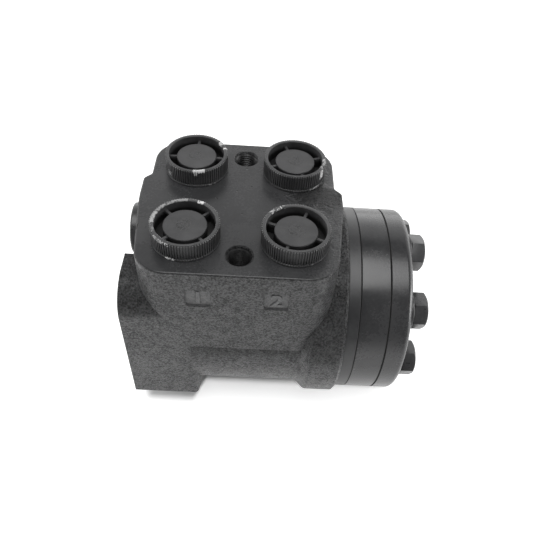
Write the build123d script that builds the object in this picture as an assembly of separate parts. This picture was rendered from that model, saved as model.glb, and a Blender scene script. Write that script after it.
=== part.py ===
"""Orbital (hydrostatic) steering unit, 100 cc per turn, built as its separate pieces.

A rotary spool and sleeve valve sits in a cast housing.  Behind the housing a
distributor plate, a gerotor ring with its orbiting rotor and an end cover are
stacked and held by seven screws.  A cardan shaft carries the rotor's turning
back to the cross pin in the sleeve.

Frame, in millimetres: the origin is the centre of the mounting face on the
spool's axis, +X runs along that axis to the end cover, +Z points out of the
port face.
"""
import os
from math import asin, cos, degrees, pi, radians, sin

from build123d import *

os.makedirs("parts", exist_ok=True)

# ---------------------------------------------------------------- sizes, mm
# Housing casting
housing_length = 97.0
flange_length = 31.3
flange_half_width = 42.0
flange_top = 42.8
base_drop = 47.5              # axis down to the surface the unit lies on
flange_top_radius = 15.0
flange_corner_chamfer = 17.0
body_radius = 43.2
rear_flange_length = 14.3
rear_flange_slope = 4.3
rear_flange_chamfer = 1.3         # left by facing the rear end
cast_edge_radius = 2.0
port_face_height = 59.0
port_face_edge = 0.8

# Port block outline, seen from above
block_set_back = 4.6              # mounting face to the block
block_set_in = 4.0                # block to the distributor plate
block_front_taper = 4.6           # how much each end draws in towards the front edge
block_rear_narrowing = 3.2        # how much each end is further in behind its step
block_half_width = 42.0
block_steps_y = (17.0, 13.0)      # where the left and the right end's step finish
block_step_run = 3.2
block_corner_radius = 13.5
block_shoulder_radius = 2.0
block_shift = 0.7                 # block is centred this far in front of the port pattern

# Ports, G 1/2, and the two tapped holes between them
port_spacing_x = 44.0
port_spacing_y = 44.6
port_radius = 9.4
port_depth = 18.0
port_chamfer = 1.6
gallery_radius = 4.0
gallery_bore_reach = 3.0          # how far a gallery breaks into the main bore
tapped_radius = 5.0               # M10
tapped_chamfer = 0.8
accessory_spacing = 62.0
accessory_depth = 16.0
column_pcd = 82.5
column_depth = 18.0
column_chamfer = 0.5
pilot_radius = 18.0               # shallow bore that centres the column's spigot
pilot_depth = 2.2
mark_pocket = 10.0
mark_pocket_depth = 0.8
mark_pocket_corner = 1.0
mark_pocket_height = 44.2
mark_pocket_shifts = (6.2, -6.2)  # from the front ports' X

# Spool, sleeve and their bore
bore_radius = 19.0
bore_start = 14.5
running_gap = 0.04                # radial, of each valve member in its bore
sleeve_inner_radius = 14.0
sleeve_back_gap = 0.5
spool_neck_radius = 12.5
spool_neck_start = 2.6
spool_bore_radius = 10.5
neck_gap = 0.4
drive_spline_root = 8.2
drive_spline_tip = 7.0
drive_spline_teeth = 12
drive_spline_depth = 17.0
dust_seal_radius = 17.5
dust_seal_width = 2.4
dust_seal_set_back = 0.3          # behind the pilot bore's floor
shaft_seal_radius = 16.5
shaft_seal_width = 4.5
shaft_seal_start = 5.0
seal_lip_gap = 0.1
spring_slot_start = 22.5
spring_slot_length = 5.5
spring_slot_height = 5.0
spring_leaf_thickness = 0.55
spring_bow = 0.55
spring_leaf_gap = 0.06
spring_ring_thickness = 0.6
pin_x = 38.0
pin_radius = 4.0
pin_fit = 0.03
pin_end_gap = 0.5
lead_angle = 8.0                  # most that the spool turns ahead of the sleeve
lead_gap = 0.2

# Thrust bearing in front of the sleeve
race_inner_radius = 13.2
race_outer_radius = 18.7
outer_race_thickness = 1.5
inner_race_thickness = 1.3
needle_radius = 0.95
needle_count = 16
needle_length = 4.2
bearing_gap = 0.05

# Gerotor set: seven lobes on the ring, six on the rotor
plate_thickness = 5.5
gear_width = 13.0
cover_thickness = 10.0
stack_radius = 45.0
stack_edge = 0.35
cover_edge_radius = 2.6
ring_lobes = 7
eccentricity = 3.7
lobe_circle = 34.2
lobe_radius = 9.0
tooth_gap = 0.06
root_gap = 0.25
root_corner_radius = 1.2
side_gap = 0.05
plate_hole_radius = 11.5
channel_radius = 2.5
channel_circle = 28.5
channel_depth = 22.0
valve_row_set_in = 18.0           # timing holes to the distributor plate
valve_hole_radius = 1.8
seal_circle = 41.5
seal_section = 1.8
seal_groove_width = 2.3
seal_groove_depth = 1.9

# Cardan shaft, its splines and the loose spacer behind it
cardan_shank_radius = 6.3
cardan_head_radius = 9.2
cardan_head_front = 8.0           # in front of the cross pin
cardan_head_back = 8.0
cardan_neck_run = 4.0
cardan_slot_gap = 0.08
spline_teeth = 12
spline_face = 8.0
spline_outer_radius = 9.6
spline_root_radius = 8.0
spline_tooth_width = 2.6
spline_flank_gap = 0.27
spline_radial_gap = 0.35
spline_crown = 0.35
spacer_radius = 8.0
spacer_thickness = 1.8
spacer_end_gap = 0.1

# Screws through the stack
screw_circle_radius = 32.5
screw_phase = 87.5                # degrees from +Y towards +Z of the first screw
screw_radius = 4.0
screw_hole_radius = 4.25
screw_thread_fit = 0.1
screw_grip = 14.0                 # length held in the housing
head_across_flats = 15.0
head_height = 6.4
head_chamfer = 0.9
washer_radius = 8.6
washer_thickness = 2.0

# Check ball under one of the screws
check_screw_index = 3
check_ball_radius = 4.25
check_bore_radius = 4.35
check_seat_length = 5.0
check_seat_hole = 2.6
check_lift = 1.5
check_pin_radius = 1.5
check_pin_length = 6.0

# Relief valve above the spool, opening on the mounting side
relief_height = 40.8
relief_scallop_radius = 18.0
relief_face_x = 5.0
relief_plug_radius = 11.5
relief_head_height = 3.0
relief_washer_thickness = 1.0
relief_thread_radius = 8.0
relief_thread_length = 12.0
relief_thread_fit = 0.1
relief_chamber_radius = 6.5
relief_chamber_end = 52.0
relief_socket_flats = 10.0
relief_socket_depth = 2.4
relief_wire = 1.2
relief_coil_radius = 4.6
relief_coils = 7
relief_poppet_radius = 5.2
relief_poppet_length = 7.0
relief_nose_length = 3.0
relief_seat_length = 5.0
relief_seat_hole = 3.0
relief_lift = 2.0
relief_gap = 0.05

# Transport plugs in the ports
plug_rim_radius = 13.9
plug_rim_wall = 1.7
plug_height = 8.6
plug_hub_radius = 8.8
plug_hub_set_down = 1.8
plug_web_thickness = 1.6
plug_spoke_width = 1.3
plug_spoke_set_down = 2.4
plug_spokes = 4
plug_stem_length = 12.0
plug_stem_fit = 0.1
plug_stem_wall = 1.8
plug_seat_gap = 0.1
plug_edge = 0.4

# --------------------------------------------------- positions worked out
plate_x = housing_length
gear_x = plate_x + plate_thickness
cover_x = gear_x + gear_width
cover_face = cover_x + cover_thickness
gear_middle = gear_x + gear_width / 2
rear_flange_x = housing_length - rear_flange_length
block_front_half_length = (housing_length - block_set_back - block_set_in) / 2
block_rear_half_length = block_front_half_length - block_rear_narrowing
block_x = block_set_back + block_front_half_length
block_middle = block_x + block_shift
valve_row_x = housing_length - valve_row_set_in
valve_row_pitch = (valve_row_x - pin_x) / 4
sleeve_x = bore_start + outer_race_thickness + 2 * needle_radius + inner_race_thickness + 3 * bearing_gap
sleeve_end = housing_length - sleeve_back_gap
screw_start = housing_length - screw_grip
first_angle = radians(screw_phase)
rotor_centre = (eccentricity * cos(first_angle), eccentricity * sin(first_angle))
front_ports_y, rear_ports_y = -port_spacing_y / 2, port_spacing_y / 2
port_xs = (block_middle - port_spacing_x / 2, block_middle + port_spacing_x / 2)
port_floor = port_face_height - port_depth

FROM_BASE = (Align.CENTER, Align.CENTER, Align.MIN)
FROM_TOP = (Align.CENTER, Align.CENTER, Align.MAX)


# ------------------------------------------------------------------ helpers
def across(x):
    """Plane square to the spool's axis at x; its own x and y are the frame's Y and Z."""
    return Plane.YZ.offset(x)


def disc(x0, x1, radius, y=0.0, z=0.0):
    """Round bar along X from x0 to x1."""
    return across(x0) * Pos(y, z) * Cylinder(radius, x1 - x0, align=FROM_BASE)


def ring(x0, x1, outer, inner, y=0.0, z=0.0):
    return disc(x0, x1, outer, y, z) - disc(x0, x1, inner, y, z)


def slab(sketch, x0, x1):
    """A profile drawn in Y and Z, pulled from x0 to x1."""
    return extrude(across(x0) * sketch, x1 - x0)


def well(x, y, z_top, depth, radius):
    """Round hole going down from z_top."""
    return Pos(x, y, z_top) * Cylinder(radius, depth, align=FROM_TOP)


def mouth(x, y, z_top, radius, chamfer_size):
    """Countersink at a well's mouth."""
    return Pos(x, y, z_top) * Cone(radius, radius + chamfer_size, chamfer_size, align=FROM_TOP)


def axial_mouth(x, radius, chamfer_size, y, z):
    """Countersink at a hole's mouth in a face looking along -X."""
    return across(x) * Pos(y, z) * Cone(radius + chamfer_size, radius, chamfer_size, align=FROM_BASE)


def circle_points(radius, count, start):
    """Points on a circle in Y and Z, the first at the angle start, in radians."""
    return [(radius * cos(start + 2 * pi * k / count), radius * sin(start + 2 * pi * k / count))
            for k in range(count)]


def radial_hole(x, angle, r0, r1, radius):
    """Round hole square to the axis, from r0 out to r1, at an angle from +Y towards +Z."""
    plane = Plane(origin=(x, r0 * cos(angle), r0 * sin(angle)), z_dir=(0, cos(angle), sin(angle)))
    return plane * Cylinder(radius, r1 - r0, align=FROM_BASE)


def toothed_disc(root, tip, width, teeth):
    """Spline outline: a root circle with straight-sided teeth out to the tip circle."""
    tooth = Pos(tip / 2, 0) * Rectangle(tip, width)
    outline = Circle(root)
    for k in range(teeth):
        outline += Rot(0, 0, 360 * k / teeth) * tooth
    return outline & Circle(tip)


def seal_groove(x0, x1):
    return ring(x0, x1, seal_circle + seal_groove_width / 2, seal_circle - seal_groove_width / 2)


def o_ring(x_floor, towards):
    """Round seal lying on its groove's floor; towards is +1 or -1 along X."""
    section = Pos(x_floor + towards * seal_section / 2, 0, seal_circle) * Rot(90, 0, 0)
    return revolve(section * Circle(seal_section / 2), Axis.X)


screw_points = circle_points(screw_circle_radius, ring_lobes, first_angle)
channel_points = circle_points(channel_circle, ring_lobes, first_angle + pi / ring_lobes)
column_points = circle_points(column_pcd / 2, 4, pi / 4)


def stack_holes(x0, x1):
    """The seven screw holes through one piece of the stack."""
    return [disc(x0, x1, screw_hole_radius, y, z) for y, z in screw_points]


def edged_disc(x0, x1):
    """One disc of the stack, with its rims broken so that the joints show as fine lines."""
    blank = disc(x0, x1, stack_radius)
    return chamfer(blank.edges().filter_by(GeomType.CIRCLE), stack_edge)


# ------------------------------------------------------------------ housing
def flange_casting():
    """Square front flange, its top corners round and its bottom corners cut off."""
    outline = Pos(0, (flange_top - base_drop) / 2) * Rectangle(2 * flange_half_width, flange_top + base_drop)
    corners = outline.vertices().group_by(Axis.Y)
    outline = fillet(corners[-1], flange_top_radius)
    outline = chamfer(outline.vertices().group_by(Axis.Y)[0], flange_corner_chamfer)
    blank = slab(outline, 0, flange_length)
    return fillet(blank.faces().sort_by(Axis.X)[-1].edges(), cast_edge_radius)


def barrel_casting():
    """Round body behind the flange, running up a slope to the round rear flange."""
    slope_start = rear_flange_x - rear_flange_slope
    start = flange_length - cast_edge_radius
    half = make_face(Polyline(
        (start, 0), (start, body_radius), (slope_start, body_radius),
        (rear_flange_x, base_drop), (housing_length, base_drop), (housing_length, 0), close=True))
    slope_corner, end_corner = half.vertices().group_by(Axis.Y)[-1].sort_by(Axis.X)
    half = chamfer(end_corner, rear_flange_chamfer)
    half = fillet(half.vertices().sort_by_distance(slope_corner)[0], cast_edge_radius)
    return revolve(Plane.XZ * half, Axis.X)


def port_block():
    """Upright block that carries the ports, with a shoulder in each end and round corners."""
    front, rear = block_front_half_length, block_rear_half_length
    points = []
    for side, step_y in zip((-1, 1), block_steps_y):
        end = [(front - block_front_taper, -block_half_width), (front, 0), (front, step_y - block_step_run),
               (rear, step_y), (rear, block_half_width)]
        points += [(side * x, y) for x, y in (end if side < 0 else reversed(end))]
    outline = make_face(Polyline(*points, close=True))
    corners = outline.vertices().filter_by(lambda v: abs(v.Y) > block_half_width - 1)
    outline = fillet(corners, block_corner_radius)
    shoulders = outline.vertices().filter_by(
        lambda v: min(block_steps_y) - block_step_run - 1 < v.Y < max(block_steps_y) + 1)
    outline = fillet(shoulders, block_shoulder_radius)
    block = extrude(Pos(block_x, 0, 0) * outline, port_face_height)
    return fillet(block.faces().sort_by(Axis.Z)[-1].edges(), port_face_edge)


def port_cuts():
    """Four ports, each with a slanting gallery down to the valve bore, and two tapped holes."""
    cuts = []
    for x in port_xs:
        for y in (front_ports_y, rear_ports_y):
            cuts.append(well(x, y, port_face_height, port_depth, port_radius))
            cuts.append(mouth(x, y, port_face_height, port_radius, port_chamfer))
            inward = -1 if y > 0 else 1
            target = Vector(x, -inward * bore_radius * sin(pi / 6), bore_radius * cos(pi / 6))
            start = Vector(x, y, port_floor)
            run = target - start
            length = run.length + gallery_bore_reach
            cuts.append(Plane(origin=start, z_dir=run) * Cylinder(gallery_radius, length, align=FROM_BASE))
    for y in (-accessory_spacing / 2, accessory_spacing / 2):
        cuts.append(well(block_middle, y, port_face_height, accessory_depth, tapped_radius))
        cuts.append(mouth(block_middle, y, port_face_height, tapped_radius, tapped_chamfer))
    return cuts


def bore_cuts():
    """Valve bore, bearing and seal seats, and the seven channels to the gear set."""
    seal_end = shaft_seal_start + shaft_seal_width
    cuts = [
        disc(0, pilot_depth, pilot_radius),
        disc(0, pilot_depth + dust_seal_set_back + dust_seal_width, dust_seal_radius),
        disc(0, seal_end, shaft_seal_radius),
        disc(0, bore_start, spool_neck_radius + neck_gap),
        disc(bore_start, housing_length, bore_radius),
        seal_groove(housing_length - seal_groove_depth, housing_length),
    ]
    for y, z in channel_points:
        cuts.append(disc(housing_length - channel_depth, housing_length, channel_radius, y, z))
    for k in range(ring_lobes):
        angle = first_angle + pi / ring_lobes + 2 * pi * k / ring_lobes
        cuts.append(radial_hole(valve_row_x, angle, bore_radius - 1, channel_circle, valve_hole_radius))
    return cuts


def screw_cuts():
    """Tapped holes for the stack's screws, one of them deeper for the check ball."""
    radius = screw_radius + screw_thread_fit
    cuts = [disc(screw_start, housing_length, radius, y, z) for y, z in screw_points]
    y, z = screw_points[check_screw_index]
    cuts.append(disc(check_seat_x, screw_start, check_bore_radius, y, z))
    return cuts


def column_cuts():
    """Four tapped holes for the steering column's flange."""
    cuts = []
    for y, z in column_points:
        cuts.append(disc(0, column_depth, tapped_radius, y, z))
        cuts.append(axial_mouth(0, tapped_radius, column_chamfer, y, z))
    return cuts


def relief_cuts():
    """Relief valve's chamber, its seat face and its two drillings to the front ports."""
    near_port, far_port = port_xs
    drill_z = port_floor + channel_radius
    across_bore = Plane(origin=(0, 0, 0), z_dir=(0, -1, 0))
    cuts = [
        disc(0, relief_face_x, relief_scallop_radius, 0, relief_height),
        disc(0, relief_face_x + relief_thread_length + 1, relief_thread_radius + relief_thread_fit,
             0, relief_height),
        disc(0, relief_chamber_end, relief_chamber_radius, 0, relief_height),
        disc(relief_chamber_end, far_port, channel_radius, 0, relief_height),
    ]
    for x in (near_port, far_port):
        drill = across_bore * Cylinder(channel_radius, -front_ports_y, align=FROM_BASE)
        cuts.append(Pos(x, 0, drill_z) * drill)
    return cuts


def mark_pockets():
    """Shallow cast pockets under the two front ports, where a number can stand."""
    pockets = []
    for port_x, shift in zip(port_xs, mark_pocket_shifts):
        plane = Plane(origin=(port_x + shift, -block_half_width, mark_pocket_height), z_dir=(0, 1, 0))
        shape = RectangleRounded(mark_pocket, mark_pocket, mark_pocket_corner)
        pockets.append(extrude(plane * shape, mark_pocket_depth))
    return pockets


def housing():
    body = flange_casting() + barrel_casting() + port_block()
    cuts = port_cuts() + bore_cuts() + screw_cuts() + column_cuts() + relief_cuts() + mark_pockets()
    return body - cuts


# -------------------------------------------------------- spool and sleeve
spring_z_half = spring_slot_height / 2
spring_end = spring_slot_start + spring_slot_length
valve_rows = {name: pin_x + valve_row_pitch * (k + 1)
              for k, name in enumerate(("return", "left", "right", "timing"))}


def cross_slot(reach):
    """Slot through spool or sleeve along Y, which the leaf springs fill."""
    middle = (spring_slot_start + spring_end) / 2
    return Pos(middle, 0, 0) * Box(spring_slot_length, 2 * reach, spring_slot_height)


def sleeve():
    outer = bore_radius - running_gap
    body = ring(sleeve_x, sleeve_end, outer, sleeve_inner_radius)
    ring_depth = spring_ring_thickness
    body -= ring(spring_slot_start, spring_end, outer + 1, outer - ring_depth)
    body -= cross_slot(bore_radius)
    body -= Pos(pin_x, 0, 0) * Cylinder(pin_radius + pin_fit, 3 * bore_radius)
    for name, x in valve_rows.items():
        count = 12 if name == "timing" else 6
        for k in range(count):
            angle = first_angle + 2 * pi * k / count
            body -= radial_hole(x, angle, sleeve_inner_radius - 1, bore_radius + 1, 1.5)
    return body


def spring_ring():
    """Thin ring that keeps the leaf springs in their slots."""
    outer = bore_radius - running_gap
    inset = bearing_gap
    return ring(spring_slot_start + inset, spring_end - inset, outer, outer - spring_ring_thickness + inset)


def spool():
    outer = sleeve_inner_radius - running_gap
    shoulder = sleeve_x + bearing_gap
    body = disc(spool_neck_start, shoulder, spool_neck_radius) + disc(shoulder, sleeve_end, outer)
    socket = toothed_disc(drive_spline_tip, drive_spline_root, drive_tooth_width, drive_spline_teeth)
    body -= slab(socket, spool_neck_start, spool_neck_start + drive_spline_depth)
    body -= disc(spool_neck_start + drive_spline_depth, sleeve_end, spool_bore_radius)
    body -= cross_slot(bore_radius)
    hole = pin_radius + sleeve_inner_radius * sin(radians(lead_angle)) + lead_gap
    body -= Pos(pin_x, 0, 0) * Cylinder(hole, 3 * bore_radius)
    groove_floor = outer - 1.1
    body -= ring(valve_rows["return"] - 2.5, valve_rows["return"] + 2.5, outer + 1, groove_floor)
    keyway = Pos(groove_floor + 1, 0) * Rectangle(2, 3.2)
    for k in range(6):
        slot = Rot(0, 0, screw_phase + 30 + 60 * k) * keyway
        body -= slab(slot, valve_rows["left"] - 2, valve_rows["timing"] + 2)
    return body


drive_tooth_width = pi * (drive_spline_root + drive_spline_tip) / drive_spline_teeth / 2


def cross_pin():
    length = 2 * (bore_radius - pin_end_gap)
    pin = Pos(pin_x, 0, 0) * Cylinder(pin_radius, length)
    return chamfer(pin.edges().filter_by(GeomType.CIRCLE), 0.5)


def leaf_springs():
    """Two flat and four bowed leaves, packed across the slot in spool and sleeve."""
    length = 2 * (bore_radius - running_gap - spring_ring_thickness - 4 * bearing_gap)
    x0, x1 = spring_slot_start + 0.1, spring_end - 0.1
    leaves = []
    for side in (1, -1):
        flat = Pos(0, side * (spring_leaf_thickness / 2 + spring_leaf_gap / 2))
        leaves.append(slab(flat * Rectangle(length, spring_leaf_thickness), x0, x1))
        for level in (0, 1):
            foot = spring_leaf_thickness + spring_leaf_gap
            foot += level * (spring_leaf_thickness + spring_leaf_gap)
            inner = ThreePointArc((-length / 2, foot + spring_bow), (0, foot), (length / 2, foot + spring_bow))
            top = foot + spring_leaf_thickness
            outer = ThreePointArc((length / 2, top + spring_bow), (0, top), (-length / 2, top + spring_bow))
            sides = [Line(inner @ 1, outer @ 0), Line(outer @ 1, inner @ 0)]
            leaf = make_face([inner, outer] + sides)
            if side < 0:
                leaf = Rot(0, 0, 180) * leaf
            leaves.append(slab(leaf, x0, x1))
    return leaves


# ------------------------------------------------------------ bearing, seals
needle_x = bore_start + outer_race_thickness + bearing_gap + needle_radius
inner_race_x = needle_x + needle_radius + bearing_gap


def needles():
    middle = (race_inner_radius + race_outer_radius) / 2
    bars = []
    for k in range(needle_count):
        angle = 2 * pi * k / needle_count
        bars.append(radial_hole(needle_x, angle, middle - needle_length / 2, middle + needle_length / 2,
                                needle_radius))
    return bars


def needle_cage():
    half = needle_radius * 0.6
    cage = ring(needle_x - half, needle_x + half, race_outer_radius, race_inner_radius)
    middle = (race_inner_radius + race_outer_radius) / 2
    window = Box(4 * needle_radius, needle_length + 0.2, 2 * needle_radius + 0.2)
    for k in range(needle_count):
        cage -= Pos(needle_x, 0, 0) * Rot(360 * k / needle_count, 0, 0) * Pos(0, middle, 0) * window
    return cage


# --------------------------------------------------------------- gear stack
def distributor_plate():
    plate = edged_disc(plate_x, gear_x) - disc(plate_x, gear_x, plate_hole_radius)
    plate -= stack_holes(plate_x, gear_x)
    plate -= [disc(plate_x, gear_x, channel_radius, y, z) for y, z in channel_points]
    return plate - seal_groove(gear_x - seal_groove_depth, gear_x)


def gear_ring():
    """Outer gear: a round chamber with seven round lobes standing into it."""
    chamber = Circle(lobe_circle - lobe_radius + 2 * eccentricity + root_gap)
    for y, z in circle_points(lobe_circle, ring_lobes, first_angle):
        chamber -= Pos(y, z) * Circle(lobe_radius)
    chamber = fillet(chamber.vertices(), root_corner_radius)
    return edged_disc(gear_x, cover_x) - slab(chamber, gear_x, cover_x) - stack_holes(gear_x, cover_x)


def rotor_outline(points_per_tooth=20, crowding=0.85):
    """Curve that stays in touch with all the ring's lobes as the rotor orbits.

    A lobe's centre draws the trochoid p(t) in the rotor; the tooth flank is that
    curve moved inwards by the lobe's radius and the running gap.  The points
    crowd together in the hollows, where the curve turns fastest.
    """
    teeth = ring_lobes - 1
    count = points_per_tooth * teeth
    offset = lobe_radius + tooth_gap
    points = []
    for k in range(count):
        even = 2 * pi * k / count
        t = even - crowding * sin(teeth * even) / teeth
        px = lobe_circle * cos(t) - eccentricity * cos(ring_lobes * t)
        py = lobe_circle * sin(t) - eccentricity * sin(ring_lobes * t)
        dx = -lobe_circle * sin(t) + ring_lobes * eccentricity * sin(ring_lobes * t)
        dy = lobe_circle * cos(t) - ring_lobes * eccentricity * cos(ring_lobes * t)
        size = (dx * dx + dy * dy) ** 0.5
        points.append((px - offset * dy / size, py + offset * dx / size))
    return make_face(Spline(*points, periodic=True))


def gear_rotor():
    """Inner gear with six teeth, splined for the cardan shaft, at its place in the ring."""
    blank = Rot(0, 0, screw_phase) * rotor_outline()
    socket = toothed_disc(spline_root_radius + spline_radial_gap, spline_outer_radius + spline_radial_gap,
                          spline_tooth_width + 2 * spline_flank_gap, spline_teeth)
    profile = Pos(*rotor_centre) * (blank - socket)
    return slab(profile, gear_x + side_gap, cover_x - side_gap)


def end_cover():
    cover = disc(cover_x, cover_face, stack_radius)
    cover = fillet(cover.edges().filter_by(GeomType.CIRCLE).sort_by(Axis.X)[-1], cover_edge_radius)
    cover = chamfer(cover.edges().filter_by(GeomType.CIRCLE).sort_by(Axis.X)[0], stack_edge)
    cover -= stack_holes(cover_x, cover_face)
    return cover - seal_groove(cover_x, cover_x + seal_groove_depth)


# ------------------------------------------------------------------- cardan
cardan_run = Vector(gear_middle - pin_x, *rotor_centre)
cardan_axis = Plane(origin=(pin_x, 0, 0), x_dir=Vector(0, 1, 0), z_dir=cardan_run)


def cardan_shaft():
    """Slotted head on the cross pin, waisted shank, and a crowned spline in the rotor."""
    end = cardan_run.length + spline_face / 2
    neck = cardan_head_back + cardan_neck_run
    collar = end - spline_face - cardan_neck_run / 2
    half = make_face(Polyline(
        (0, -cardan_head_front), (cardan_head_radius - 1, -cardan_head_front),
        (cardan_head_radius, 1 - cardan_head_front), (cardan_head_radius, cardan_head_back),
        (cardan_shank_radius, neck), (cardan_shank_radius, collar),
        (spline_root_radius, end - spline_face), (spline_root_radius, end), (0, end), close=True))
    body = revolve(Plane.XZ * half, Axis.Z)
    teeth = toothed_disc(spline_root_radius, spline_outer_radius, spline_tooth_width, spline_teeth)
    middle = end - spline_face / 2
    crown = make_face([
        Line((0, end - spline_face), (spline_outer_radius - spline_crown, end - spline_face)),
        ThreePointArc((spline_outer_radius - spline_crown, end - spline_face), (spline_outer_radius, middle),
                      (spline_outer_radius - spline_crown, end)),
        Line((spline_outer_radius - spline_crown, end), (0, end)), Line((0, end), (0, end - spline_face))])
    barrel = revolve(Plane.XZ * crown, Axis.Z)
    body += extrude(Pos(0, 0, end - spline_face) * teeth, spline_face) & barrel
    slot_half = pin_radius + cardan_slot_gap
    slot_back = pin_radius + 1.5
    slot = Pos(0, 0, (slot_back - cardan_head_front) / 2 - 1) * Box(
        2 * slot_half, 3 * cardan_head_radius, cardan_head_front + slot_back + 2)
    body -= slot
    return cardan_axis * body


def drive_spacer():
    """Loose round slug behind the cardan shaft, in the rotor's bore."""
    end = cover_x - spacer_end_gap
    y, z = rotor_centre
    slug = disc(end - spacer_thickness, end, spacer_radius, y, z)
    return chamfer(slug.edges().filter_by(GeomType.CIRCLE), 0.3)


# ------------------------------------------------------------------- screws
def screw(length_in_housing):
    """Hex screw along X, at y = z = 0, with its head behind the washer."""
    seat = cover_face + washer_thickness
    shank = disc(housing_length - length_in_housing, seat, screw_radius)
    head = slab(Rot(0, 0, 30) * RegularPolygon(head_across_flats / 2, 6, major_radius=False),
                seat, seat + head_height)
    corner = head_across_flats / cos(pi / 6) / 2
    crown = across(seat + head_height - head_chamfer) * Cone(
        corner, corner - 2 * head_chamfer, head_chamfer, align=FROM_BASE)
    keep = disc(seat, seat + head_height - head_chamfer, corner) + crown
    return shank + (head & keep)


def cover_screws():
    y_z = [p for k, p in enumerate(screw_points) if k != check_screw_index]
    return [Pos(0, y, z) * screw(screw_grip - 0.5) for y, z in y_z]


def pin_screw():
    """The screw whose pin keeps the check ball near its seat."""
    y, z = screw_points[check_screw_index]
    tip = screw_start + 0.5
    return Pos(0, y, z) * (screw(screw_grip - 0.5) + disc(tip - check_pin_length, tip, check_pin_radius))


def screw_washers():
    x1 = cover_face + washer_thickness
    return [ring(cover_face, x1, washer_radius, screw_hole_radius, y, z) for y, z in screw_points]


# --------------------------------------------------------------- check ball
check_pin_end = screw_start + 0.5 - check_pin_length
check_ball_x = check_pin_end - check_lift - check_ball_radius
check_seat_cone = 0.8
check_ball_gap = 0.15
check_touch = (check_ball_radius ** 2 - (check_seat_hole + check_seat_cone) ** 2) ** 0.5
check_seat_face = check_ball_x - check_touch - check_ball_gap
check_seat_x = check_seat_face - check_seat_length


def check_seat():
    y, z = screw_points[check_screw_index]
    seat = ring(check_seat_x, check_seat_face, check_bore_radius, check_seat_hole, y, z)
    cone = Cone(check_seat_hole, check_seat_hole + check_seat_cone, check_seat_cone, align=FROM_BASE)
    return seat - across(check_seat_face - check_seat_cone) * Pos(y, z) * cone


def check_ball():
    y, z = screw_points[check_screw_index]
    return Pos(check_ball_x, y, z) * Sphere(check_ball_radius)


# ------------------------------------------------------------- relief valve
relief_plug_end = relief_face_x + relief_thread_length
relief_seat_x = relief_chamber_end - relief_seat_length
relief_nose_radius = relief_seat_hole - 0.2
relief_poppet_back = relief_seat_x - relief_poppet_length


def relief_plug():
    head_x = relief_face_x - relief_washer_thickness - relief_head_height
    head = disc(head_x, head_x + relief_head_height, relief_plug_radius)
    head = fillet(head.edges().filter_by(GeomType.CIRCLE).sort_by(Axis.X)[0], 0.8)
    stem = disc(head_x + relief_head_height, relief_plug_end, relief_thread_radius)
    socket = slab(RegularPolygon(relief_socket_flats / 2, 6, major_radius=False),
                  head_x, head_x + relief_socket_depth)
    return Pos(0, 0, relief_height) * (head + stem - socket)


def relief_washer():
    x0 = relief_face_x - relief_washer_thickness
    return ring(x0, relief_face_x, relief_plug_radius, relief_thread_radius + relief_thread_fit,
                0, relief_height)


def relief_seat():
    return ring(relief_seat_x, relief_chamber_end, relief_chamber_radius, relief_seat_hole, 0, relief_height)


def relief_poppet():
    body = disc(relief_poppet_back, relief_seat_x - relief_gap, relief_poppet_radius)
    nose = across(relief_seat_x - relief_gap) * Cone(
        relief_nose_radius, relief_nose_radius / 3, relief_nose_length, align=FROM_BASE)
    return Pos(0, 0, relief_height) * (body + nose)


def relief_spring():
    """Round-wire spring between the plug and the poppet, with one closed turn's room at each end."""
    free = relief_poppet_back - relief_plug_end - relief_wire - 2 * relief_gap
    path = Helix(pitch=free / relief_coils, height=free, radius=relief_coil_radius)
    wire = Plane(origin=path @ 0, z_dir=path % 0) * Circle(relief_wire / 2)
    coil = sweep(wire, path=path, is_frenet=True)
    return across(relief_plug_end + relief_gap + relief_wire / 2) * Pos(0, relief_height) * coil


# ---------------------------------------------------------------- port plugs
plug_phases = {"front_left": 45.0, "rear_left": 0.0, "rear_right": 20.0, "front_right": -22.0}


def port_plug(x, y, phase):
    """Moulded screw plug: grip rim, closed hub on four spokes, and a hollow stem in the port."""
    rim_inner = plug_rim_radius - plug_rim_wall
    stem_radius = port_radius - plug_stem_fit
    rim = Cylinder(plug_rim_radius, plug_height, align=FROM_BASE)
    rim = fillet(rim.edges().filter_by(GeomType.CIRCLE), plug_edge)
    well_height = plug_height - plug_web_thickness
    rim -= Pos(0, 0, plug_web_thickness) * Cylinder(rim_inner, well_height, align=FROM_BASE)
    hub_height = plug_height - plug_hub_set_down
    hub = Cylinder(plug_hub_radius, hub_height, align=FROM_BASE)
    spoke_height = plug_height - plug_spoke_set_down
    spokes = []
    for k in range(plug_spokes):
        spoke = Pos(rim_inner / 2 + plug_hub_radius / 2, 0, 0) * Box(
            rim_inner - plug_hub_radius + 1, plug_spoke_width, spoke_height, align=FROM_BASE)
        spokes.append(Rot(0, 0, phase + 360 * k / plug_spokes) * spoke)
    stem = Cylinder(stem_radius, plug_stem_length, align=FROM_TOP)
    stem = chamfer(stem.edges().filter_by(GeomType.CIRCLE).sort_by(Axis.Z)[0], plug_edge)
    plug = rim + hub + spokes + stem
    hollow_top = hub_height - plug_web_thickness
    plug -= Pos(0, 0, hollow_top) * Cylinder(
        stem_radius - plug_stem_wall, hollow_top + plug_stem_length, align=FROM_TOP)
    return Pos(x, y, port_face_height + plug_seat_gap) * plug


# ------------------------------------------------------------------- output
def write(name, shape):
    solids = list(shape) if isinstance(shape, (list, ShapeList)) else [shape]
    body = solids[0] if len(solids) == 1 else Compound(children=solids)
    export_step(body, f"parts/{name}.step")


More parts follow.
